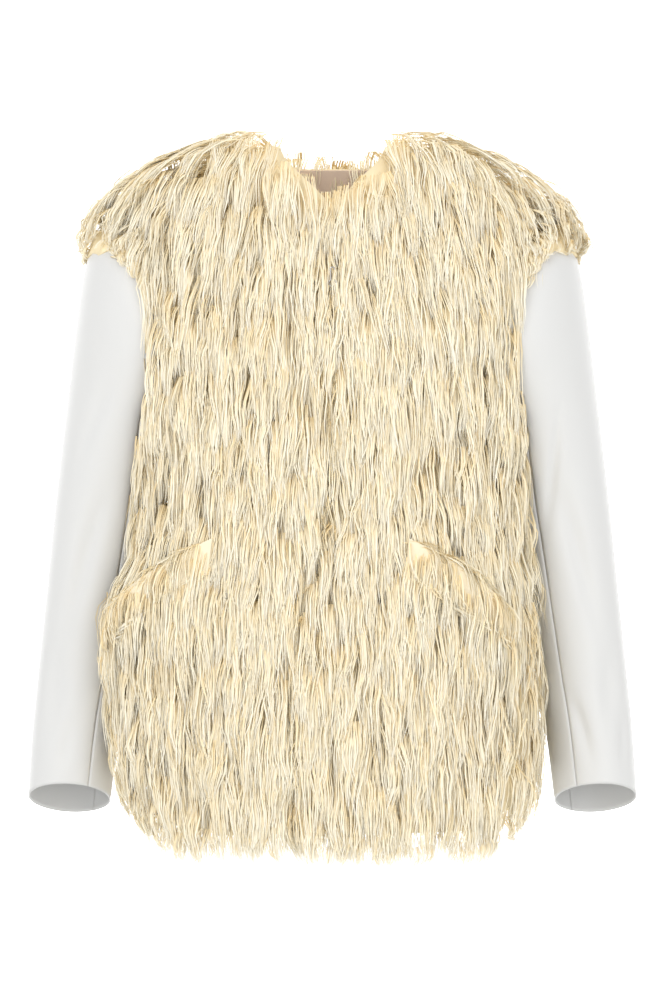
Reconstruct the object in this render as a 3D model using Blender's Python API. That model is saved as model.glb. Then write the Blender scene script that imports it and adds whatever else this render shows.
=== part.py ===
"""Long-pile faux fur jacket with satin sleeves, hollow as worn.

Units are metres, +Z is up, -Y is the front and +X the wearer's left.
The origin lies midway between the neck ends of the two shoulder seams.
"""

import math
from collections import namedtuple

import bmesh
import bpy
from mathutils import Vector

MM = 0.001
SEAM_GAP = 0.3 * MM
LAYER_GAP = 0.8 * MM

# Driving sizes of the fur body
BODY_ROWS = 32
FRONT_COLUMNS = 14
BACK_COLUMNS = 28
LOCK_DEPTH = 6 * MM
LOCK_ROWS = 4
HEM_TIP = 14 * MM
SIDE_HEM_RISE = 48 * MM
SIDE_HEM_SPAN = 42.0
FRONT_EDGE_DIP = 7 * MM
FRONT_EDGE_FLAT_DEG = 2.6
VENT_ROWS = 4
VENT_OPEN_DEG = 4.5
SIDE_SEAM_HEM_DEG = 60.0
SIDE_SEAM_CHEST_DEG = 90.0
NECK_FRONT_ROW = 14.15
NECK_BACK_ROW = 17.3

# Driving sizes of the sleeves
SATIN = 1.4 * MM
SLEEVE_ROWS = 14
TOP_SLEEVE_COLUMNS = 14
UNDER_SLEEVE_COLUMNS = 7
UNDER_SLEEVE_HALF_DEG = 58.0
ARMHOLE_REACH = 75 * MM

# Driving sizes of the trims
WELT_COLUMNS = 9
WELT_ROWS = 4
WELT_DROP = 36 * MM
WELT_RISE = 10 * MM
LINING = 1.0 * MM
BAND = 0.8 * MM
HOOK_Z = -0.117
HOOK_LIFT = 0.9 * MM
WIRE_RADIUS = 0.75 * MM

# Fur outline, hem to neck, in millimetres: the tips of the pile all round the body,
# how square each ring is (2 is an ellipse) and how far it is turned to the wearer's right
FurSection = namedtuple("FurSection", "z right left front back square twist_deg")
FUR = [
    FurSection(-688, 204, 202, 150, 148, 2.25, -6.5),
    FurSection(-664, 214, 208, 158, 156, 2.25, -8.0),
    FurSection(-628, 222, 212, 164, 160, 2.25, -9.2),
    FurSection(-560, 230, 214, 168, 162, 2.25, -8.6),
    FurSection(-480, 234, 213, 168, 160, 2.25, -7.8),
    FurSection(-430, 226, 210, 164, 156, 2.25, -7.3),
    FurSection(-395, 210, 207, 156, 152, 2.25, -6.8),
    FurSection(-330, 208, 207, 152, 150, 2.25, -5.2),
    FurSection(-250, 210, 210, 152, 150, 2.25, -2.8),
    FurSection(-180, 213, 213, 148, 148, 2.25, -0.8),
    FurSection(-130, 226, 226, 139, 144, 2.1, 0.0),
    FurSection(-98, 247, 247, 128, 138, 1.95, 0.0),
    FurSection(-76, 258, 258, 119, 132, 1.9, 0.0),
    FurSection(-56, 252, 252, 112, 126, 1.9, 0.0),
    FurSection(-31, 234, 234, 104, 117, 1.9, 0.0),
    FurSection(-10, 207, 207, 97, 108, 1.95, 0.0),
    FurSection(8, 175, 175, 89, 98, 2.0, 0.0),
    FurSection(22, 140, 140, 81, 90, 2.1, 0.0),
    FurSection(33, 100, 100, 72, 82, 2.2, 0.0),
    FurSection(36, 78, 78, 66, 76, 2.25, 0.0),
]

# Inside of the backing cloth, one row under each row of the fur, in millimetres
ClothSection = namedtuple("ClothSection", "z half front back")
CLOTH = [
    ClothSection(-655, 196, 138, 136),
    ClothSection(-640, 198, 140, 138),
    ClothSection(-612, 200, 144, 139),
    ClothSection(-555, 198, 146, 139),
    ClothSection(-480, 188, 145, 137),
    ClothSection(-430, 178, 141, 133),
    ClothSection(-395, 170, 134, 130),
    ClothSection(-330, 162, 130, 128),
    ClothSection(-250, 156, 130, 128),
    ClothSection(-185, 158, 128, 126),
    ClothSection(-140, 170, 118, 122),
    ClothSection(-112, 192, 108, 118),
    ClothSection(-92, 212, 100, 112),
    ClothSection(-74, 218, 93, 106),
    ClothSection(-52, 205, 85, 97),
    ClothSection(-33, 182, 78, 88),
    ClothSection(-16, 153, 71, 80),
    ClothSection(-2, 121, 64, 73),
    ClothSection(9, 86, 57, 67),
    ClothSection(14, 62, 54, 64),
]
LAST_ROW = len(FUR) - 1

# Sleeve rings, armhole to cuff, in millimetres: the outer and inner ends of each ring
# in the front view, its middle and half depth in Y, how far its front and back sides
# bow in to the body, and how far its back hangs lower than its middle
SleeveRing = namedtuple(
    "SleeveRing", "outer_x outer_z inner_x inner_z mid_y half_depth bow drop")
SLEEVE = [
    SleeveRing(226, -60, 166, -232, 4, 84, 26, 0),
    SleeveRing(240, -80, 168, -245, 3, 87, 18, 0),
    SleeveRing(249, -113, 170, -262, 4, 83, 11, 0),
    SleeveRing(256, -160, 173, -287, 7, 75, 5, 0),
    SleeveRing(263, -215, 175, -318, 11, 68, 2, 0),
    SleeveRing(271, -280, 179, -357, 15, 62, 0, 0),
    SleeveRing(279, -350, 187, -402, 16, 58, 0, 2),
    SleeveRing(287, -430, 197, -462, 15, 54, 0, 4),
    SleeveRing(294, -500, 206, -520, 11, 51, 0, 8),
    SleeveRing(300, -565, 215, -575, 6, 48, 0, 13),
    SleeveRing(304, -632, 222, -634, 0, 46, 0, 18),
]

# Largest folds of the sleeves: place along (0 armhole, 1 cuff) and round the sleeve
# (0 deg faces in, 90 deg front, 180 deg out), spread each way, slant and depth
SleeveFold = namedtuple("SleeveFold", "along around_deg half_along half_around_deg slant depth_mm")
FOLDS = [
    SleeveFold(0.62, 100, 0.16, 16, 110, 5),
    SleeveFold(0.84, 120, 0.10, 22, -60, 4),
    SleeveFold(0.50, 200, 0.20, 14, 60, 4),
    SleeveFold(0.70, 265, 0.16, 18, -70, 4),
    SleeveFold(0.88, 300, 0.09, 20, 40, 3),
]

# Pocket mouth: angle from the front edge and height, from its inner to its outer end
PocketPoint = namedtuple("PocketPoint", "from_front_deg z_mm")
POCKET_MOUTH = [PocketPoint(24, -372), PocketPoint(40, -402), PocketPoint(58, -444)]

# Colour, roughness and metallic value of each finish
Finish = namedtuple("Finish", "colour roughness metallic")
FINISHES = {
    "ivory_fur": Finish((0.90, 0.80, 0.60), 0.85, 0.0),
    "white_satin": Finish((0.90, 0.89, 0.87), 0.35, 0.0),
    "peach_lining": Finish((0.85, 0.66, 0.43), 0.45, 0.0),
    "blush_band": Finish((0.80, 0.70, 0.62), 0.40, 0.0),
    "steel": Finish((0.62, 0.60, 0.56), 0.25, 1.0),
}


def clear_scene():
    for thing in list(bpy.data.objects):
        bpy.data.objects.remove(thing, do_unlink=True)


def material(name):
    """The named finish as a Principled material, made once."""
    found = bpy.data.materials.get(name)
    if found:
        return found
    made = bpy.data.materials.new(name)
    made.use_nodes = True
    shader = made.node_tree.nodes["Principled BSDF"]
    finish = FINISHES[name]
    shader.inputs["Base Color"].default_value = (*finish.colour, 1.0)
    shader.inputs["Roughness"].default_value = finish.roughness
    shader.inputs["Metallic"].default_value = finish.metallic
    return made


def smooth(rows, column, at):
    """A table's column at a fractional row, on a smooth curve through its rows."""
    last = len(rows) - 1
    low = min(max(int(math.floor(at)), 0), last - 1)
    t = min(max(at - low, 0.0), 1.0)
    before, first, second, after = (
        getattr(rows[min(max(low + step, 0), last)], column) for step in (-1, 0, 1, 2)
    )
    return first + 0.5 * t * (
        second - before
        + t * (2 * before - 5 * first + 4 * second - after
               + t * (3 * (first - second) + after - before))
    )


def ease(t):
    t = min(max(t, 0.0), 1.0)
    return t * t * (3 - 2 * t)


def chance(*keys):
    """A fixed number from 0 to 1 for these keys."""
    mixed = sum(key * weight for key, weight in zip(keys, (12.9898, 78.233, 37.719)))
    return math.sin(mixed + 1.7) * 43758.5453 % 1.0


def new_object(name, mesh, finish):
    thing = bpy.data.objects.new(name, mesh)
    bpy.context.scene.collection.objects.link(thing)
    if finish:
        mesh.materials.append(material(finish))
    return thing


def mesh_from(build, name):
    """A mesh from a bmesh whose faces are turned outwards."""
    bmesh.ops.recalc_face_normals(build, faces=build.faces)
    mesh = bpy.data.meshes.new(name)
    build.to_mesh(mesh)
    build.free()
    mesh.shade_smooth()
    mesh.set_sharp_from_angle(angle=math.radians(50))
    return mesh


def wall(name, outer, inner, finish):
    """A closed wall between two grids of points with the same rows and columns."""
    build = bmesh.new()
    out = [[build.verts.new(p) for p in row] for row in outer]
    back = [[build.verts.new(p) for p in row] for row in inner]
    rows, columns = len(out) - 1, len(out[0]) - 1
    for r in range(rows):
        for c in range(columns):
            build.faces.new((out[r][c], out[r][c + 1], out[r + 1][c + 1], out[r + 1][c]))
            build.faces.new((back[r][c], back[r + 1][c], back[r + 1][c + 1], back[r][c + 1]))
    for r in range(rows):
        for c in (0, columns):
            build.faces.new((out[r][c], out[r + 1][c], back[r + 1][c], back[r][c]))
    for c in range(columns):
        for r in (0, rows):
            build.faces.new((out[r][c], out[r][c + 1], back[r][c + 1], back[r][c]))
    return new_object(name, mesh_from(build, name), finish)


# Fur body


def ring_point(angle_deg, half, front, back, z, square):
    """A point on a rounded ring: 0 deg is the front, 90 deg the wearer's left."""
    angle = math.radians(angle_deg)
    across, ahead = math.sin(angle), math.cos(angle)
    power = 2 / square
    x = math.copysign(abs(across) ** power, across) * half
    y = -math.copysign(abs(ahead) ** power, ahead) * (front if ahead > 0 else back)
    return Vector((x, y, z)) * MM


def hem_rise(angle_deg, row):
    """How far the hem is cut up at the sides, fading out above it."""
    from_side = abs(abs((angle_deg + 180) % 360 - 180) - 82)
    return SIDE_HEM_RISE * ease(1 - from_side / SIDE_HEM_SPAN) * ease(1 - row / 4)


def fur_point(angle_deg, row):
    half = smooth(FUR, "left" if angle_deg % 360 < 180 else "right", row)
    point = ring_point(
        angle_deg, half, smooth(FUR, "front", row), smooth(FUR, "back", row),
        smooth(FUR, "z", row), smooth(FUR, "square", row),
    )
    point.z += hem_rise(angle_deg, row)
    return point


def cloth_point(angle_deg, row):
    point = ring_point(
        angle_deg, smooth(CLOTH, "half", row), smooth(CLOTH, "front", row),
        smooth(CLOTH, "back", row), smooth(CLOTH, "z", row), smooth(FUR, "square", row),
    )
    point.z += hem_rise(angle_deg, row)
    return point


def neck_row(angle_deg):
    """The row that the neck edge runs along: a V in front and a shallow scoop behind."""
    turn = abs((angle_deg + 180) % 360 - 180)
    if turn <= 90:
        return NECK_FRONT_ROW + (LAST_ROW - NECK_FRONT_ROW) * (1 - (1 - turn / 90) ** 3.4)
    return NECK_BACK_ROW + (LAST_ROW - NECK_BACK_ROW) * (1 - ease((turn - 90) / 70))


def row_steps():
    """Rows from the hem (0) to the neck (1), evenly spaced along the side of the fur."""
    fine = 400
    spots = [fur_point(90, LAST_ROW * i / fine) for i in range(fine + 1)]
    lengths = [0.0]
    for a, b in zip(spots, spots[1:]):
        lengths.append(lengths[-1] + (b - a).length)
    steps, i = [], 0
    for k in range(BODY_ROWS + 1):
        wanted = lengths[-1] * k / BODY_ROWS
        while i < fine - 1 and lengths[i + 1] < wanted:
            i += 1
        steps.append((i + (wanted - lengths[i]) / (lengths[i + 1] - lengths[i])) / fine)
    return steps


ROW_STEPS = row_steps()


def twist(row):
    return smooth(FUR, "twist_deg", row)


def side_seam(side, row):
    """The angle of a side or shoulder seam: it swings forward below the armhole."""
    low = SIDE_SEAM_HEM_DEG * side + twist(row)
    return low + (SIDE_SEAM_CHEST_DEG * side - low) * ease((row - 1) / 8.5)


def seam_gap_deg(angle_deg, row):
    """Half the gap at a seam, as an angle."""
    point, low, high = fur_point(angle_deg, row), 0.0, 2.0
    for _ in range(24):
        middle = (low + high) / 2
        if (fur_point(angle_deg + middle, row) - point).length < 1.5 * SEAM_GAP:
            low = middle
        else:
            high = middle
    return low


def vent_deg(step):
    """Half the spread of a side vent, which opens towards the hem."""
    return VENT_OPEN_DEG * ease(1 - step / VENT_ROWS)


def outward(angle_deg, row):
    """The direction that the fur faces."""
    d = 0.4
    round_it = fur_point(angle_deg + d, row) - fur_point(angle_deg - d, row)
    up = fur_point(angle_deg, min(row + 0.1, LAST_ROW)) - fur_point(angle_deg, max(row - 0.1, 0))
    return round_it.cross(up).normalized()


def lock_depth(column, step):
    """How far the pile is sunk: valleys between locks, and each lock swelling to its tip."""
    if column % 2 == 0:
        return LOCK_DEPTH
    phase = chance(column, 3) * LOCK_ROWS
    along = ((BODY_ROWS - step + phase) % LOCK_ROWS) / (LOCK_ROWS - 1)
    return LOCK_DEPTH * (1 - min(along, 1.0)) * 0.8


def on_pocket(angle_deg, z):
    """1 where a pocket welt lies on the fur, fading to 0 round it."""
    share = (z / MM - POCKET_MOUTH[0].z_mm) / (POCKET_MOUTH[-1].z_mm - POCKET_MOUTH[0].z_mm)
    mouth = POCKET_MOUTH[0].from_front_deg + share * (
        POCKET_MOUTH[-1].from_front_deg - POCKET_MOUTH[0].from_front_deg)
    off = angle_deg - (mouth - 14)
    inside = POCKET_MOUTH[-1].z_mm - 70 < z / MM < POCKET_MOUTH[0].z_mm + 40
    return ease(2.2 - abs(off) / 22) if inside else 0.0


def body_grids(angles_at, front_edge):
    """Outer and inner points of a fur panel. angles_at gives a row's column angles."""
    outer, inner = [], []
    for step, share in enumerate(ROW_STEPS):
        fur_row, cloth_row = [], []
        for column, angle in enumerate(angles_at(step, share)):
            row = share * neck_row(angle)
            sunk = lock_depth(column, step)
            point = fur_point(angle, row)
            if front_edge:
                sunk *= 1 - on_pocket(abs(angle - twist(row)), point.z)
                if column < 2:
                    sunk = FRONT_EDGE_DIP
            sunk *= ease(step / 2) * 0.7 + 0.3
            point -= outward(angle, row) * sunk
            if step == 0:
                tip = chance(column, 11) if column % 2 else -0.6
                point.z -= HEM_TIP * 0.5 * tip
            fur_row.append(point)
            cloth_row.append(cloth_point(angle, row))
        outer.append(fur_row)
        inner.append(cloth_row)
    return outer, inner


def front_angles(side):
    def angles_at(step, share):
        row = share * LAST_ROW
        start, end = twist(row), side_seam(side, row)
        start += side * seam_gap_deg(start, row)
        end -= side * (seam_gap_deg(end, row) + vent_deg(step))
        flat = start + side * FRONT_EDGE_FLAT_DEG
        steps = FRONT_COLUMNS - 1
        return [start] + [flat + (end - flat) * c / steps for c in range(steps + 1)]

    return angles_at


def back_angles(step, share):
    row = share * LAST_ROW
    start, end = side_seam(1, row), side_seam(-1, row) + 360
    start += seam_gap_deg(start, row) + vent_deg(step)
    end -= seam_gap_deg(end, row) + vent_deg(step)
    return [start + (end - start) * c / BACK_COLUMNS for c in range(BACK_COLUMNS + 1)]


# Sleeves


def sleeve_fold(along, around_deg):
    """The depth of the sleeve's folds at a place."""
    depth = 0.0
    for fold in FOLDS:
        up = (along - fold.along) / fold.half_along
        middle = fold.around_deg + fold.slant * (along - fold.along)
        off = ((around_deg - middle + 180) % 360 - 180) / fold.half_around_deg
        depth += fold.depth_mm * MM * math.exp(-2 * off * off) * ease(1 - abs(up))
    return depth


def sleeve_point(side, along, around_deg, moved_out):
    """A point of a sleeve: 0 deg faces the body, 90 deg the front, 180 deg outwards."""
    row = along * (len(SLEEVE) - 1)
    ring = {name: smooth(SLEEVE, name, row) * MM for name in SleeveRing._fields}
    outer = Vector((ring["outer_x"], 0, ring["outer_z"]))
    inner = Vector((ring["inner_x"], 0, ring["inner_z"]))
    middle, half = (outer + inner) / 2, (inner - outer) / 2
    width = half.length
    angle = math.radians(around_deg)
    moved = moved_out - sleeve_fold(along, around_deg)
    point = middle + half.normalized() * (math.cos(angle) * (width + moved))
    ahead = math.sin(angle)
    point.y = ring["mid_y"] - ahead * (ring["half_depth"] + moved)
    point.x -= ring["bow"] * ahead * ahead
    point.z += ring["drop"] * ahead
    point.x *= side
    return point


def sleeve_piece(name, side, start_deg, end_deg, columns):
    def grid(moved_out):
        return [
            [
                sleeve_point(side, r / SLEEVE_ROWS, start_deg + (end_deg - start_deg) * c / columns,
                             moved_out)
                for c in range(columns + 1)
            ]
            for r in range(SLEEVE_ROWS + 1)
        ]

    return wall(name, grid(0.0), grid(-SATIN), "white_satin")


def sleeve(side, word):
    """A two-piece sleeve: the under sleeve faces the body and the top sleeve goes round it."""
    gap = math.degrees(0.5 * SEAM_GAP / (45 * MM))
    edge = UNDER_SLEEVE_HALF_DEG
    sleeve_piece("sleeve_under_" + word, side, -edge + gap, edge - gap, UNDER_SLEEVE_COLUMNS)
    sleeve_piece("sleeve_top_" + word, side, edge + gap, 360 - edge - gap, TOP_SLEEVE_COLUMNS)


def sleeve_form(side, word):
    """The filled form of a sleeve, run on through the armhole: it cuts the room for it."""
    columns = TOP_SLEEVE_COLUMNS + UNDER_SLEEVE_COLUMNS
    edge = UNDER_SLEEVE_HALF_DEG
    turns = [-edge + 2 * edge * c / UNDER_SLEEVE_COLUMNS for c in range(UNDER_SLEEVE_COLUMNS)]
    turns += [edge + (360 - 2 * edge) * c / TOP_SLEEVE_COLUMNS for c in range(TOP_SLEEVE_COLUMNS)]
    rings = [
        [sleeve_point(side, r / SLEEVE_ROWS, turn, LAYER_GAP) for turn in turns]
        for r in range(SLEEVE_ROWS + 1)
    ]
    reach = Vector((-side * ARMHOLE_REACH, 0, 0))
    rings.insert(0, [p + reach for p in rings[0]])
    build = bmesh.new()
    verts = [[build.verts.new(p) for p in ring] for ring in rings]
    for a, b in zip(verts, verts[1:]):
        for c in range(columns):
            d = (c + 1) % columns
            build.faces.new((a[c], a[d], b[d], b[c]))
    build.faces.new(verts[0])
    build.faces.new(verts[-1][::-1])
    form = new_object("sleeve_form_" + word, mesh_from(build, "sleeve_form_" + word), None)
    form.hide_render = True
    form.display_type = "WIRE"
    return form


def cut(thing, form):
    made = thing.modifiers.new("room_for_" + form.name, "BOOLEAN")
    made.operation = "DIFFERENCE"
    made.solver = "EXACT"
    made.object = form


# Pocket welts, back neck lining and label band


def pocket_welt(side, word):
    """A rolled fur strip under a slanting pocket mouth, lying on the front."""
    inner, outer = [], []
    for r in range(WELT_ROWS + 1):
        down = r / WELT_ROWS
        inner_row, outer_row = [], []
        for c in range(WELT_COLUMNS + 1):
            at = c / WELT_COLUMNS * (len(POCKET_MOUTH) - 1)
            z = smooth(POCKET_MOUTH, "z_mm", at) - WELT_DROP / MM * down
            row = row_at_height(z)
            angle = twist(row) + side * smooth(POCKET_MOUTH, "from_front_deg", at)
            ends = math.sin(math.pi * (0.06 + 0.88 * c / WELT_COLUMNS)) ** 0.5
            puff = WELT_RISE * ends * math.sin(math.pi * (0.30 + 0.62 * down)) ** 0.7
            facing = outward(angle, row)
            bed = fur_point(angle, row) + facing * 1.2 * LAYER_GAP
            inner_row.append(bed)
            outer_row.append(bed + facing * (2 * MM + puff))
        inner.append(inner_row)
        outer.append(outer_row)
    return wall("pocket_welt_" + word, outer, inner, "ivory_fur")


def row_at_height(z_mm):
    """The fur row at a height below the armhole."""
    low, high = 0.0, 10.0
    for _ in range(30):
        middle = (low + high) / 2
        if smooth(FUR, "z", middle) < z_mm:
            low = middle
        else:
            high = middle
    return low


def lining_layer(name, grid, rows, columns, clear, thick, finish):
    """A thin layer on the inside of the back: the panel's own points, moved in."""
    def moved(distance):
        points = []
        for r in rows:
            line = []
            for c in columns:
                up = grid[min(r + 1, len(grid) - 1)][c] - grid[r - 1][c]
                round_it = grid[r][c + 1] - grid[r][c - 1]
                line.append(grid[r][c] - round_it.cross(up).normalized() * distance)
            points.append(line)
        return points

    return wall(name, moved(clear), moved(clear + thick), finish)


# Hook and eye


def wire(name, points, finish="steel"):
    curve = bpy.data.curves.new(name, "CURVE")
    curve.dimensions = "3D"
    curve.bevel_depth = WIRE_RADIUS
    curve.bevel_resolution = 2
    curve.use_fill_caps = True
    spline = curve.splines.new("POLY")
    spline.points.add(len(points) - 1)
    for spot, point in zip(spline.points, points):
        spot.co = (*point, 1.0)
    curve.materials.append(material(finish))
    thing = bpy.data.objects.new(name, curve)
    bpy.context.scene.collection.objects.link(thing)
    return thing


def hook_and_eye(front_y):
    """A bent wire hook caught in a wire eye, at the top of the front edges."""
    y = front_y - HOOK_LIFT
    eye_r, eye_z = 3.4 * MM, HOOK_Z - 9 * MM
    turns = [math.radians(20 + 320 * i / 16) for i in range(17)]
    wire("eye", [(eye_r * math.sin(t), y, eye_z + eye_r * math.cos(t)) for t in turns])
    bow_r, top = 2.0 * MM, HOOK_Z + 4 * MM
    bow = [math.radians(-20 + 220 * i / 10) for i in range(11)]
    shank = [(bow_r * math.cos(t), y - 2.2 * MM, top + bow_r * math.sin(t)) for t in bow]
    tail = [(-bow_r * 0.95, y - 2.2 * MM, HOOK_Z - step * MM) for step in (1, 4, 7)]
    wire("hook", shank + tail)


def main():
    clear_scene()
    right_form, left_form = sleeve_form(-1, "right"), sleeve_form(1, "left")
    for side, word, form in ((-1, "right", right_form), (1, "left", left_form)):
        panel = wall("front_" + word, *body_grids(front_angles(side), True), "ivory_fur")
        cut(panel, form)
        sleeve(side, word)
        pocket_welt(side, word)
    back_outer, back_inner = body_grids(back_angles, False)
    back = wall("back", back_outer, back_inner, "ivory_fur")
    cut(back, right_form)
    cut(back, left_form)
    top, middle = BODY_ROWS, BACK_COLUMNS // 2
    columns = range(middle - 8, middle + 9)
    lining_layer("back_neck_lining", back_inner, range(top - 5, top + 1), columns,
                 SEAM_GAP, LINING, "peach_lining")
    lining_layer("neck_band", back_inner, range(top - 2, top + 1), range(middle - 5, middle + 6),
                 2 * SEAM_GAP + LINING, BAND, "blush_band")
    front = fur_point(0, row_at_height(HOOK_Z / MM))
    hook_and_eye(front.y + FRONT_EDGE_DIP)


main()
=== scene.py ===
"""Looks of the faux fur jacket: long ivory pile, white satin sleeves, tan lining."""

import math
from collections import namedtuple

import bmesh
import bpy
import numpy as np
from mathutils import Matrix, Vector
from mathutils.bvhtree import BVHTree


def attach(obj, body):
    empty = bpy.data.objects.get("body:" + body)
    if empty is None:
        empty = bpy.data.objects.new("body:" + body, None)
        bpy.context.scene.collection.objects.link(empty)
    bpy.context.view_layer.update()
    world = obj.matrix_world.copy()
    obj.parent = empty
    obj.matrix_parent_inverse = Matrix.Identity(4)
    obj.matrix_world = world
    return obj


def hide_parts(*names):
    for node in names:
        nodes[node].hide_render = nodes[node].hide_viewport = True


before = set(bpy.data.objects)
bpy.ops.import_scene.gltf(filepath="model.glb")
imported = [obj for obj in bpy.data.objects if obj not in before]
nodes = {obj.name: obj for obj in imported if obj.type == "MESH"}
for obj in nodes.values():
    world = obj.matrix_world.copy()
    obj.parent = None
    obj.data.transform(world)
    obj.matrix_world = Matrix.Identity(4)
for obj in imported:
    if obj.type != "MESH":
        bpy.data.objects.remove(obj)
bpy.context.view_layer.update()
MM = 0.001

# Fur backing: a knitted cloth about 2 mm thick behind the pile of each front and of the back.
# It is the inner side of each packed panel, given the cloth's own thickness.

BACKING_THICKNESS = 2 * MM
HEM_TIPS = -0.690
SIDE_HEM_RISE = 48 * MM
CLOTH_ABOVE_TIPS = 33 * MM
FUR_PANELS = ("front_right", "front_left", "back")


def triangles(node):
    """Points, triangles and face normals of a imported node."""
    mesh = nodes[node].data
    mesh.calc_loop_triangles()
    points = np.empty(len(mesh.vertices) * 3)
    mesh.vertices.foreach_get("co", points)
    corners = np.empty(len(mesh.loop_triangles) * 3, np.int32)
    mesh.loop_triangles.foreach_get("vertices", corners)
    points, corners = points.reshape(-1, 3), corners.reshape(-1, 3)
    a, b, c = (points[corners[:, i]] for i in range(3))
    normals = np.cross(b - a, c - a)
    return points, corners, normals / (np.linalg.norm(normals, axis=1, keepdims=True) + 1e-15)


def tree_of(points, corners):
    return BVHTree.FromPolygons([tuple(p) for p in points], [tuple(int(i) for i in f) for f in corners])


def inward(points, corners, normals):
    """True for the faces that look at the middle of the body."""
    middle = points[corners].mean(axis=1)
    axis = middle * (1, 1, 0)
    axis[:, 2] = np.where(middle[:, 2] > -0.14, middle[:, 2] + 0.14, 0.0)
    axis /= np.linalg.norm(axis, axis=1, keepdims=True) + 1e-9
    return (normals * axis).sum(axis=1) < -0.25


def hem_height(x, y):
    """How low the tips reach round the hem, which is cut up at the sides."""
    turn = np.degrees(np.arctan2(x / 0.21, -y / 0.16))
    off = np.abs(np.abs(turn) - 82)
    rise = np.clip(1 - off / 42, 0, 1)
    return HEM_TIPS + SIDE_HEM_RISE * rise * rise * (3 - 2 * rise)


def object_from(name, points, faces, material, smooth=True):
    mesh = bpy.data.meshes.new(name)
    mesh.from_pydata([tuple(p) for p in points], [], [tuple(int(i) for i in f) for f in faces])
    mesh.materials.append(material)
    if smooth:
        mesh.shade_smooth()
    made = bpy.data.objects.new(name, mesh)
    bpy.context.scene.collection.objects.link(made)
    return made


def principled(name, colour, roughness):
    made = bpy.data.materials.new(name)
    made.use_nodes = True
    shader = made.node_tree.nodes["Principled BSDF"]
    shader.inputs["Base Color"].default_value = (*colour, 1.0)
    shader.inputs["Roughness"].default_value = roughness
    return made


# The backing's warm tan is painted shade of the deep pile, seen between the locks.
shaded_backing_cloth = principled("fur_backing", (0.96, 0.82, 0.54), 0.9)
cloth_tree = {}
wall_tree = {}
cloth_faces = {}
for name in FUR_PANELS:
    points, corners, normals = triangles(name)
    wall_tree[name] = tree_of(points, corners)
    keep = inward(points, corners, normals)
    low = points[corners].min(axis=1)
    keep &= low[:, 2] > hem_height(low[:, 0], low[:, 1]) + CLOTH_ABOVE_TIPS - 6 * MM
    cloth_faces[name] = points, corners[keep], normals[keep]
    cloth_tree[name] = tree_of(points, corners[keep])
    build = bmesh.new()
    verts = [build.verts.new(p) for p in points]
    for face in corners[keep]:
        build.faces.new([verts[i] for i in face])
    bmesh.ops.delete(build, geom=[v for v in verts if not v.link_faces], context="VERTS")
    bmesh.ops.remove_doubles(build, verts=build.verts, dist=0.02 * MM)
    mesh = bpy.data.meshes.new(name + "_cloth")
    build.to_mesh(mesh)
    build.free()
    mesh.materials.append(shaded_backing_cloth)
    made = bpy.data.objects.new(name + "_cloth", mesh)
    bpy.context.scene.collection.objects.link(made)
    thicken = made.modifiers.new("cloth", "SOLIDIFY")
    thicken.thickness = BACKING_THICKNESS
    thicken.offset = -1
    solid = bpy.data.meshes.new_from_object(made.evaluated_get(bpy.context.evaluated_depsgraph_get()))
    made.modifiers.clear()
    made.data = solid
    made.data.shade_smooth()
    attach(made, "root")
    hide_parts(name)

# Sleeves: white satin, a top and an under sleeve each, with soft folds and a stitched hem.
# Their rings are those of the solids, drawn finer.

SATIN_THICKNESS = 1.4 * MM
SLEEVE_ROWS = 110
SEAM_GAP_DEG = 0.25
UNDER_HALF_DEG = 58.0
SleeveRing = namedtuple("SleeveRing", "outer_x outer_z inner_x inner_z mid_y half_depth bow drop")
SLEEVE = np.array([
    SleeveRing(226, -60, 166, -232, 4, 84, 26, 0),
    SleeveRing(240, -80, 168, -245, 3, 87, 18, 0),
    SleeveRing(249, -113, 170, -262, 4, 83, 11, 0),
    SleeveRing(256, -160, 173, -287, 7, 75, 5, 0),
    SleeveRing(263, -215, 175, -318, 11, 68, 2, 0),
    SleeveRing(271, -280, 179, -357, 15, 62, 0, 0),
    SleeveRing(279, -350, 187, -402, 16, 58, 0, 2),
    SleeveRing(287, -430, 197, -462, 15, 54, 0, 4),
    SleeveRing(294, -500, 206, -520, 11, 51, 0, 8),
    SleeveRing(300, -565, 215, -575, 6, 48, 0, 13),
    SleeveRing(304, -632, 222, -634, 0, 46, 0, 18),
]) * MM
Fold = namedtuple("Fold", "along around half_along half_around slant depth_mm")
FOLDS = {
    "right": [
        Fold(0.62, 100, 0.16, 16, 110, 5), Fold(0.84, 120, 0.10, 22, -60, 4),
        Fold(0.50, 200, 0.20, 14, 60, 4), Fold(0.70, 265, 0.16, 18, -70, 4),
        Fold(0.88, 300, 0.09, 20, 40, 3), Fold(0.40, 110, 0.14, 10, 150, 3),
        Fold(0.93, 95, 0.06, 14, 80, 2),
    ],
    "left": [
        Fold(0.62, 100, 0.16, 16, 110, 5), Fold(0.84, 120, 0.10, 22, -60, 4),
        Fold(0.50, 200, 0.20, 14, 60, 4), Fold(0.70, 265, 0.16, 18, -70, 4),
        Fold(0.88, 300, 0.09, 20, 40, 3), Fold(0.46, 85, 0.13, 9, -160, 4),
        Fold(0.90, 75, 0.08, 12, 120, 4), Fold(0.92, 135, 0.06, 12, -120, 3),
    ],
}


def ring_values(rows):
    """The ring table at fractional rows, on smooth curves through it."""
    last = len(SLEEVE) - 1
    low = np.clip(np.floor(rows).astype(int), 0, last - 1)
    t = (rows - low)[..., None]
    before, first, second, after = (SLEEVE[np.clip(low + k, 0, last)] for k in (-1, 0, 1, 2))
    return first + 0.5 * t * (second - before + t * (2 * before - 5 * first + 4 * second - after
                                                    + t * (3 * (first - second) + after - before)))


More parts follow.
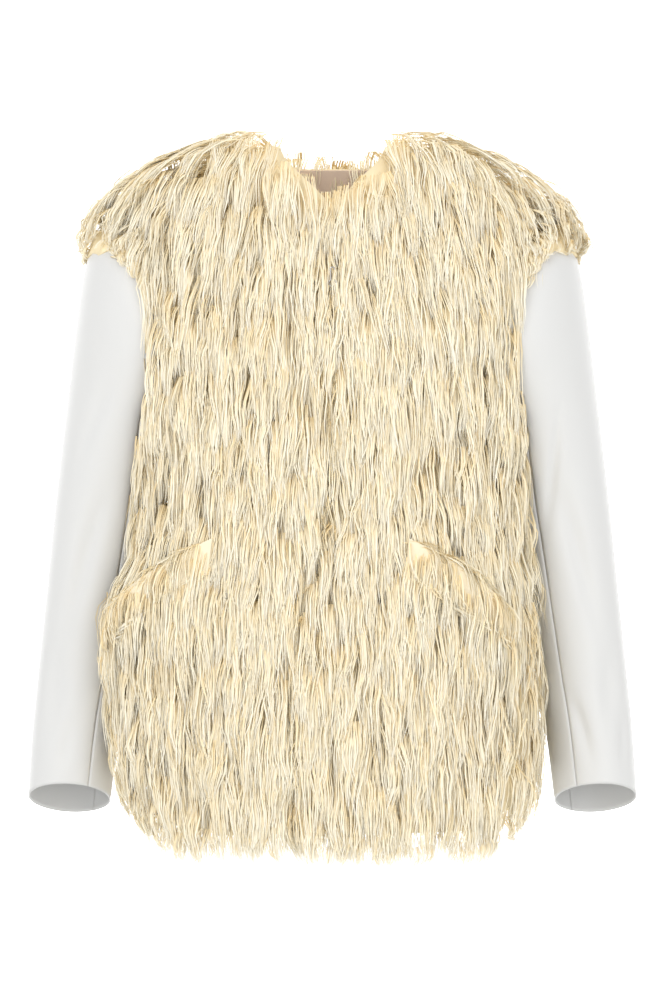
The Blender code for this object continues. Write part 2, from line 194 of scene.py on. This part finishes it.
def sleeve_points(side, word, along, around_deg, moved_out):
    """Points of a sleeve at places along it (0 to 1) and round it (0 deg faces the body)."""
    ring = ring_values(along * (len(SLEEVE) - 1))
    ox, oz, ix, iz, mid_y, depth, bow, drop = (ring[..., k] for k in range(8))
    folds = np.zeros_like(along)
    for fold in FOLDS[word]:
        up = np.clip(1 - np.abs(along - fold.along) / fold.half_along, 0, 1)
        middle = fold.around + fold.slant * (along - fold.along)
        off = ((around_deg - middle + 180) % 360 - 180) / fold.half_around
        folds += fold.depth_mm * MM * np.exp(-2 * off * off) * up * up * (3 - 2 * up)
    angle = np.radians(around_deg)
    moved = moved_out - folds
    hx, hz = (ix - ox) / 2, (iz - oz) / 2
    width = np.hypot(hx, hz)
    turn = np.cos(angle) * (width + moved) / width
    ahead = np.sin(angle)
    x = (ox + ix) / 2 + hx * turn - bow * ahead * ahead
    z = (oz + iz) / 2 + hz * turn + drop * ahead
    return np.stack([side * x, mid_y - ahead * (depth + moved), z], axis=-1)


def shell(name, outer, inner, material):
    """A closed thin shell between two grids of points."""
    rows, columns = outer.shape[:2]
    points = np.concatenate([outer.reshape(-1, 3), inner.reshape(-1, 3)])
    at = np.arange(rows * columns).reshape(rows, columns)
    under = at + rows * columns
    quads = []
    for a, flip in ((at, False), (under, True)):
        q = np.stack([a[:-1, :-1], a[:-1, 1:], a[1:, 1:], a[1:, :-1]], -1).reshape(-1, 4)
        quads.append(q[:, ::-1] if flip else q)
    for a, b in ((at[0], under[0]), (under[-1], at[-1]), (under[:, 0], at[:, 0]), (at[:, -1], under[:, -1])):
        quads.append(np.stack([b[:-1], b[1:], a[1:], a[:-1]], -1))
    made = object_from(name, points, np.concatenate(quads), material)
    build = bmesh.new()
    build.from_mesh(made.data)
    bmesh.ops.recalc_face_normals(build, faces=build.faces)
    build.to_mesh(made.data)
    build.free()
    return made


satin = principled("white_satin", (0.68, 0.68, 0.67), 0.42)
satin_shader = satin.node_tree.nodes["Principled BSDF"]
satin_shader.inputs["Sheen Weight"].default_value = 0.25
satin_shader.inputs["Sheen Roughness"].default_value = 0.4
sleeve_trees = []
for side, word in ((-1, "right"), (1, "left")):
    for piece, start, end, columns in (
        ("sleeve_under_", -UNDER_HALF_DEG, UNDER_HALF_DEG, 34),
        ("sleeve_top_", UNDER_HALF_DEG, 360 - UNDER_HALF_DEG, 72),
    ):
        along, around = np.meshgrid(
            np.linspace(0, 1, SLEEVE_ROWS + 1),
            np.linspace(start + SEAM_GAP_DEG, end - SEAM_GAP_DEG, columns + 1), indexing="ij")
        to_seam = np.minimum(np.abs(around - start), np.abs(around - end))
        pucker = 0.5 * MM * np.exp(-((to_seam / 3) ** 2))
        hem = 0.4 * MM * np.exp(-(((along - 0.988) / 0.004) ** 2))
        outer = sleeve_points(side, word, along, around, -pucker - hem)
        inner = sleeve_points(side, word, along, around, np.full_like(along, -SATIN_THICKNESS))
        made = shell(piece + word + "_satin", outer, inner, satin)
        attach(made, "root")
        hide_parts(piece + word)
    along, around = np.meshgrid(np.linspace(0, 1, 61), np.linspace(0, 360, 73), indexing="ij")
    form = sleeve_points(side, word, along, around, np.full_like(along, 0.5 * MM))
    at = np.arange(form.shape[0] * form.shape[1]).reshape(form.shape[:2])
    quads = np.stack([at[:-1, :-1], at[:-1, 1:], at[1:, 1:], at[1:, :-1]], -1).reshape(-1, 4)
    if side > 0:
        quads = quads[:, ::-1]
    sleeve_trees.append(tree_of(form.reshape(-1, 3), quads))

# Fur: long ivory pile in wavy locks. Deep locks start on the backing and fill the solid wall;
# face locks start just under its outer side, edges too, and fall over it. A lock is a bunch of
# fine flat strands that taper to a tip.

LOCK_POINTS = 7
TINTS = 64
FACE_SINK = 4 * MM
CAP_START = 0.185
CAP_TIPS = -0.078
SHORTEST_FALL = 20 * MM
rng = np.random.default_rng(7)


def clear_of_sleeves(point, room):
    for tree in sleeve_trees:
        near, normal, _, distance = tree.find_nearest(point, 0.06)
        if near is None:
            continue
        height = (point - near).dot(normal)
        if height < room:
            return near + normal * room
    return point


def roots_on(points, corners, normals, per_m2):
    """Random places on faces, with the face normals."""
    a, b, c = (points[corners[:, i]] for i in range(3))
    areas = np.linalg.norm(np.cross(b - a, c - a), axis=1) / 2
    count = int(areas.sum() * per_m2)
    chosen = rng.choice(len(corners), count, p=areas / areas.sum())
    u, v = rng.random(count), rng.random(count)
    u, v = np.where(u + v > 1, 1 - u, u), np.where(u + v > 1, 1 - v, v)
    places = a[chosen] + (b[chosen] - a[chosen]) * u[:, None] + (c[chosen] - a[chosen]) * v[:, None]
    return places, normals[chosen]


def lock(root, out, surface, flip, length, heights, swing, wave, phase):
    """The path of a lock that falls along a surface from its root, and its sideways direction."""
    here, facing = root.copy(), out.copy()
    path = [root + out * heights[0]]
    free = False
    for k in range(1, LOCK_POINTS):
        t = k / (LOCK_POINTS - 1)
        across = facing.cross(Vector((0, 0, 1)))
        if across.length < 1e-6:
            across = Vector((1, 0, 0))
        across.normalize()
        fall = Vector((0, 0, -1))
        if not free:
            fall += Vector((root.x, root.y + 0.02, 0)) * (1.6 * max(facing.z, 0) + 0.15)
            fall -= facing * fall.dot(facing)
        fall.normalize()
        step = (fall + across * swing).normalized() * (length / (LOCK_POINTS - 1))
        moved = here + step
        if not free:
            near, normal, _, distance = surface.find_nearest(moved)
            if distance < 6 * MM:
                here = near
                facing = (facing * 0.5 + normal * (0.5 * flip)).normalized()
            else:
                free = True
        if free:
            here = moved
            facing = Vector((facing.x, facing.y, facing.z * 0.4)).normalized()
        curl = across * (wave * math.sin(phase + 7 * t) * min(t * 2, 1))
        path.append(clear_of_sleeves(here + facing * heights[k] + curl, 1.5 * MM))
    return [tuple(p) for p in path], tuple(across)


def fall_length(root, longest, shortest):
    """A random length that stops at the hem, or on the shoulder cap just over the sleeve."""
    low = float(hem_height(root.x, root.y)) + rng.uniform(-0.002, 0.014)
    if abs(root.x) > CAP_START and root.z > -0.13:
        low = CAP_TIPS - 0.4 * max(abs(root.x) - 0.225, 0) + rng.uniform(-0.016, 0.010)
    return min(rng.uniform(shortest, longest), max(root.z - low, SHORTEST_FALL))


def too_low(root):
    return root.z < hem_height(root.x, root.y) + SHORTEST_FALL


def deep_locks(panel, per_m2):
    """Locks from the backing out to the depth of the wall."""
    paths, sides, outs = [], [], []
    t = np.linspace(0, 1, LOCK_POINTS)
    rise = 0.08 + 0.92 * (1 - (1 - np.minimum(t * 1.6, 1)) ** 2)
    for root, normal in zip(*roots_on(*cloth_faces[panel], per_m2)):
        root, out = Vector(root), -Vector(normal)
        if too_low(root):
            continue
        _, _, _, depth = wall_tree[panel].ray_cast(root + out * 0.5 * MM, out, 0.08)
        lift = (depth or 0.012) * rng.uniform(0.65, 0.95)
        path, side = lock(root, out, cloth_tree[panel], -1, fall_length(root, 0.078, 0.055), rise * lift,
                          rng.normal(0, 0.07), rng.uniform(0.4, 1.6) * MM, rng.uniform(0, 6.28))
        paths.append(path)
        sides.append(side)
        outs.append(tuple(out))
    return np.array(paths), np.array(sides), np.array(outs)


def face_locks(node, per_m2, longest, shortest, sink):
    """Locks that start just under the outer side of a wall and lie on it."""
    points, corners, normals = triangles(node)
    keep = ~inward(points, corners, normals) & (normals[:, 2] > -0.75)
    surface = wall_tree.get(node) or tree_of(points, corners)
    paths, sides, outs = [], [], []
    t = np.linspace(0, 1, LOCK_POINTS)
    for root, normal in zip(*roots_on(points, corners[keep], normals[keep], per_m2)):
        root, out = Vector(root), Vector(normal)
        if too_low(root):
            continue
        if any(tree.ray_cast(root, out, 0.02)[0] is not None for tree in sleeve_trees):
            continue
        if any(tree.find_nearest(root, 0.004)[0] is not None for tree in sleeve_trees):
            continue
        top = rng.uniform(1.0, 6.0) * MM
        heights = -sink + (sink + top) * np.sin(np.minimum(t * 2.2, 1) * math.pi / 2)
        heights = heights - 3 * MM * t ** 3
        path, side = lock(root, out, surface, 1, fall_length(root, longest, shortest), heights,
                          rng.normal(0, 0.09), rng.uniform(0.5, 2.0) * MM, rng.uniform(0, 6.28))
        paths.append(path)
        sides.append(side)
        outs.append(tuple(out))
    return np.array(paths), np.array(sides), np.array(outs)


def strands(paths, sides, outs, each, spread, wide):
    """Fine strands round each lock's path: two edges of a flat tapering ribbon and its tip."""
    count = len(paths) * each
    owner = np.repeat(np.arange(len(paths)), each)
    t = np.linspace(0, 1, LOCK_POINTS)
    where = rng.normal(0, 1, (count, 2)) * spread
    gather = 1 - 0.5 * t
    across, out = sides[owner], outs[owner]
    middle = paths[owner] + across[:, None, :] * (where[:, 0, None] * gather)[..., None]
    middle = middle + out[:, None, :] * (where[:, 1, None] * 0.30 * t)[..., None]
    ripple = np.sin(rng.uniform(0, 6.28, count)[:, None] + rng.uniform(5, 10, count)[:, None] * t[None])
    ripple = ripple * rng.uniform(0.3, 1.3, count)[:, None] * MM * t[None]
    middle = middle + across[:, None, :] * ripple[..., None]
    shorter = rng.uniform(0.80, 1.03, count)
    middle = middle[:, :1] + (middle - middle[:, :1]) * shorter[:, None, None]
    along = np.gradient(middle, axis=1)
    along /= np.linalg.norm(along, axis=2, keepdims=True) + 1e-12
    flat = np.cross(along, out[:, None, :])
    flat /= np.linalg.norm(flat, axis=2, keepdims=True) + 1e-12
    lean = np.cross(along, flat)
    roll = rng.normal(0, 0.5, count)[:, None, None]
    edge = flat * np.cos(roll) + lean * np.sin(roll)
    half = 0.5 * wide * rng.uniform(0.6, 1.35, count)[:, None] * (0.8 + 0.6 * t - 1.3 * t ** 2.4)
    left, right = middle - edge * half[..., None], middle + edge * half[..., None]
    return np.stack([left[:, :-1], right[:, :-1]], axis=2), middle[:, -1]


def fur_object(name, edges, tips, material):
    """One joined mesh of all the strands, with a map of tint across and root to tip up."""
    count, levels = edges.shape[:2]
    per = levels * 2 + 1
    points = np.concatenate([edges.reshape(count, -1, 3), tips[:, None]], axis=1).reshape(-1, 3)
    level = np.arange(levels - 1)
    quad = np.stack([level * 2, level * 2 + 1, level * 2 + 3, level * 2 + 2], -1)
    base = (np.arange(count) * per)[:, None]
    quads = (quad[None] + base[..., None]).reshape(-1, 4)
    tris = np.array([levels * 2 - 2, levels * 2 - 1, levels * 2]) + base
    tint = rng.integers(0, TINTS, count)
    quad_u = np.broadcast_to(np.array([0.0, 1.0, 1.0, 0.0]), (count, levels - 1, 4))
    quad_v = np.broadcast_to(np.stack([level, level, level + 1, level + 1], -1), (count, levels - 1, 4))
    tri_u = np.broadcast_to(np.array([0.0, 1.0, 0.5]), (count, 3))
    tri_v = np.broadcast_to(np.array([levels - 1, levels - 1, levels]), (count, 3))
    u = np.concatenate([((tint[:, None, None] + 0.1 + 0.8 * quad_u) / TINTS).ravel(),
                        ((tint[:, None] + 0.1 + 0.8 * tri_u) / TINTS).ravel()])
    v = np.concatenate([quad_v.ravel(), tri_v.ravel()]) / levels
    mesh = bpy.data.meshes.new(name)
    mesh.vertices.add(len(points))
    mesh.vertices.foreach_set("co", points.astype(np.float32).ravel())
    mesh.loops.add(quads.size + tris.size)
    mesh.loops.foreach_set("vertex_index", np.concatenate([quads.ravel(), tris.ravel()]).astype(np.int32))
    mesh.polygons.add(len(quads) + len(tris))
    starts = np.concatenate([np.arange(len(quads)) * 4, quads.size + np.arange(len(tris)) * 3])
    mesh.polygons.foreach_set("loop_start", starts.astype(np.int32))
    mesh.update(calc_edges=True)
    chart = mesh.uv_layers.new(name="OFBake")
    chart.data.foreach_set("uv", np.stack([u, 0.02 + 0.96 * v], -1).astype(np.float32).ravel())
    mesh.shade_smooth()
    mesh.materials.append(material)
    made = bpy.data.objects.new(name, mesh)
    bpy.context.scene.collection.objects.link(made)
    return made


ivory = principled("ivory_fur", (0.9, 0.82, 0.64), 0.75)
tree = ivory.node_tree
chart = tree.nodes.new("ShaderNodeUVMap")
chart.uv_map = "OFBake"
split = tree.nodes.new("ShaderNodeSeparateXYZ")
tree.links.new(chart.outputs["UV"], split.inputs[0])
# Root to tip: the tan at the roots is painted shade of the deep pile. It eases through a half-shaded body tone to the
# fur's own ivory at the tips.
root_shade_ramp = tree.nodes.new("ShaderNodeValToRGB")
root_shade_ramp.color_ramp.elements[0].position = 0.05
root_shade_ramp.color_ramp.elements[0].color = (0.96, 0.81, 0.52, 1)
root_shade_ramp.color_ramp.elements[1].position = 0.95
root_shade_ramp.color_ramp.elements[1].color = (0.97, 0.94, 0.84, 1)
half_shade_tone = root_shade_ramp.color_ramp.elements.new(0.45)
half_shade_tone.color = (0.97, 0.90, 0.72, 1)
tree.links.new(split.outputs["Y"], root_shade_ramp.inputs["Fac"])
column = tree.nodes.new("ShaderNodeMath")
column.operation = "MULTIPLY"
column.inputs[1].default_value = TINTS
tree.links.new(split.outputs["X"], column.inputs[0])
whole = tree.nodes.new("ShaderNodeMath")
whole.operation = "FLOOR"
tree.links.new(column.outputs[0], whole.inputs[0])
noise = tree.nodes.new("ShaderNodeTexWhiteNoise")
noise.noise_dimensions = "1D"
tree.links.new(whole.outputs[0], noise.inputs["W"])
tints = tree.nodes.new("ShaderNodeValToRGB")
tints.color_ramp.elements[0].color = (0.95, 0.88, 0.74, 1)
tints.color_ramp.elements[1].position = 0.55
tints.color_ramp.elements[1].color = (1.0, 1.0, 1.0, 1)
tree.links.new(noise.outputs["Value"], tints.inputs["Fac"])
tinted = tree.nodes.new("ShaderNodeMix")
tinted.data_type = "RGBA"
tinted.blend_type = "MULTIPLY"
tinted.inputs["Factor"].default_value = 1.0
tree.links.new(root_shade_ramp.outputs["Color"], tinted.inputs[6])
tree.links.new(tints.outputs["Color"], tinted.inputs[7])
tree.links.new(tinted.outputs[2], tree.nodes["Principled BSDF"].inputs["Base Color"])
tree.nodes["Principled BSDF"].inputs["Specular IOR Level"].default_value = 0.15

Pile = namedtuple("Pile", "panel deep_per_m2 face_per_m2 pieces")
PILES = (
    Pile("front_right", 4600, 7400, 2), Pile("front_left", 4600, 7400, 2), Pile("back", 2600, 4200, 3),
)
for pile in PILES:
    deep = deep_locks(pile.panel, pile.deep_per_m2)
    face = face_locks(pile.panel, pile.face_per_m2, 0.074, 0.048, FACE_SINK)
    paths, sides, outs = (np.concatenate(pair) for pair in zip(deep, face))
    near_hook = (np.abs(paths[..., 0]) < 3.2 * MM) & (np.abs(paths[..., 2] + 0.119) < 7 * MM)
    near_hook &= paths[..., 1] < 0
    in_neck = (paths[..., 0] / 0.058) ** 2 + ((paths[..., 1] + 0.005) / 0.072) ** 2 < 1
    in_neck &= paths[..., 2] > -0.11
    if pile.panel != "back":
        in_neck |= paths[..., 2] > 0.8 * np.abs(paths[..., 0]) - 0.044
        in_neck &= np.abs(paths[..., 0]) < 0.055
    keep = ~near_hook[:, 2:].any(axis=1) & ~in_neck[:, 1:].any(axis=1)
    paths, sides, outs = paths[keep], sides[keep], outs[keep]
    order = np.argsort(paths[:, 0, 2] if pile.panel != "back" else paths[:, 0, 0])
    made = []
    for part, chosen in enumerate(np.array_split(order, pile.pieces)):
        edges, tips = strands(paths[chosen], sides[chosen], outs[chosen], 11, 4.6 * MM, 1.05 * MM)
        fur = fur_object(f"{pile.panel}_fur_{part + 1}", edges, tips, ivory)
        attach(fur, "root")
        made.append(fur)

# Pocket welts: rolled fur strips under the slanting mouths. Their pile falls over the front below.

for word in ("right", "left"):
    paths, sides, outs = face_locks("pocket_welt_" + word, 22000, 0.075, 0.050, 1.5 * MM)
    edges, tips = strands(paths, sides, outs, 10, 4.0 * MM, 1.05 * MM)
    fur = fur_object("pocket_" + word + "_fur", edges, tips, ivory)
    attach(fur, "root")

# Back neck lining, label band, hook and eye keep their solids, with finer materials.

for name, colour, roughness in (
    ("pocket_welt_right", (0.88, 0.78, 0.58), 0.8), ("pocket_welt_left", (0.88, 0.78, 0.58), 0.8),
    ("back_neck_lining", (0.90, 0.66, 0.38), 0.45), ("neck_band", (0.86, 0.70, 0.60), 0.45),
    ("hook", (0.45, 0.43, 0.40), 0.25), ("eye", (0.45, 0.43, 0.40), 0.25),
):
    finish = principled(name + "_finish", colour, roughness)
    if name in ("hook", "eye"):
        finish.node_tree.nodes["Principled BSDF"].inputs["Metallic"].default_value = 1.0
    nodes[name].data.materials.clear()
    nodes[name].data.materials.append(finish)

# Studio: a white backdrop and a pale floor below the view, with a soft key and fill.

scene = bpy.context.scene
scene.view_settings.view_transform = "Standard"
world = bpy.data.worlds.new("studio")
world.use_nodes = True
world.node_tree.nodes["Background"].inputs["Color"].default_value = (1, 1, 1, 1)
world.node_tree.nodes["Background"].inputs["Strength"].default_value = 0.90
scene.world = world
white = principled("backdrop_white", (1, 1, 1), 1.0)
white.node_tree.nodes["Principled BSDF"].inputs["Emission Color"].default_value = (1, 1, 1, 1)
white.node_tree.nodes["Principled BSDF"].inputs["Emission Strength"].default_value = 1.0
wide = 6.0
backdrop = object_from("backdrop", [(-wide, wide, -wide), (wide, wide, -wide), (wide, wide, wide), (-wide, wide, wide)],
                       [(0, 1, 2, 3)], white, smooth=False)
pale = principled("floor_pale", (0.92, 0.92, 0.91), 0.9)
floor = object_from("floor", [(-wide, -wide, -1.25), (wide, -wide, -1.25), (wide, wide, -1.25), (-wide, wide, -1.25)],
                    [(0, 1, 2, 3)], pale, smooth=False)
for name, place, size, power in (("key", (-1.2, -2.6, 1.2), 1.4, 26), ("fill", (1.6, -2.6, 0.2), 1.8, 14)):
    lamp = bpy.data.lights.new(name, "AREA")
    lamp.size = size
    lamp.energy = power
    held = bpy.data.objects.new(name, lamp)
    held.location = place
    held.rotation_euler = (Vector((0, 0, -0.35)) - Vector(place)).to_track_quat("-Z", "Y").to_euler()
    scene.collection.objects.link(held)

CAMERA_DISTANCE = 3.5
lens = bpy.data.cameras.new("camera")
lens.sensor_width = 36
lens.lens = 36 * CAMERA_DISTANCE / 1.0
camera = bpy.data.objects.new("camera", lens)
camera.location = (0.001, -CAMERA_DISTANCE, -0.335)
camera.rotation_euler = (math.pi / 2, 0, 0)
scene.collection.objects.link(camera)
scene.camera = camera
